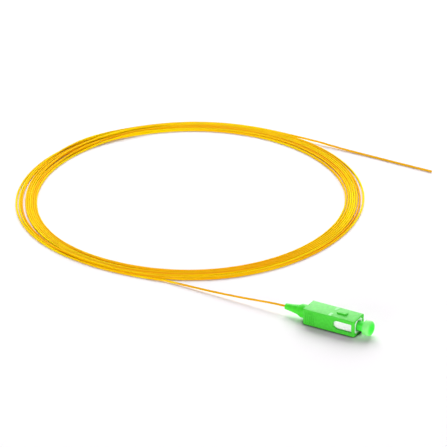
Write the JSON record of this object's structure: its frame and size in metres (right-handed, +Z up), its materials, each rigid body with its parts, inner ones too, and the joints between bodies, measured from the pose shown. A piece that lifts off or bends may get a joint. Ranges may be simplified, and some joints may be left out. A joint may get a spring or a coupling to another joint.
{
  "type": "fibre optic pigtail",
  "caption": "Angle-polished square push-pull fibre plug with dust cap and boot, on a loosely coiled 0.9 mm buffered fibre with a bare cut end.",
  "frame": {"origin": "under the middle of the plug, from the end of the boot to the front of the dust cap, on the surface that the plug lies on", "axes": "+X along the plug's optical axis, out of the ferrule; +Z up, towards the key; the coil lies on the +Y side behind the plug"},
  "size_m": [0.2147, 0.1604, 0.0084],
  "materials": {
    "green_housing": "moulded, satin gloss",
    "white_frame": "moulded, satin",
    "zirconia": "polished",
    "nickel": "plated, turned",
    "spring_steel": "drawn wire",
    "green_boot": "soft, satin",
    "green_cap": "translucent, soft",
    "yellow_buffer": "extruded, satin"
  },
  "bodies": {
    "plug": {"plug_frame": "white_frame", "stop_body": "white_frame", "boot": "green_boot", "spring": "spring_steel", "inner_fibre": "yellow_buffer", "lead_fibre": "yellow_buffer", "fibre_coil": "yellow_buffer", "tail_fibre": "yellow_buffer"},
    "grip": {"outer_housing": "green_housing"},
    "ferrule_unit": {"ferrule": "zirconia", "ferrule_flange": "nickel"},
    "cap": {"dust_cap": "green_cap"}
  },
  "joints": [
    {"name": "grip_slide", "type": "slide", "parent": "plug", "child": "grip", "axis": [1, 0, 0], "range_m": [-0.002, 0]},
    {"name": "ferrule_float", "type": "slide", "parent": "plug", "child": "ferrule_unit", "axis": [1, 0, 0], "range_m": [-0.0012, 0], "stiffness_N_per_m": 600, "deforming": ["spring"]},
    {"name": "cap_pull", "type": "slide", "parent": "ferrule_unit", "child": "cap", "axis": [1, 0, 0], "range_m": [0, 0.015]}
  ]
}
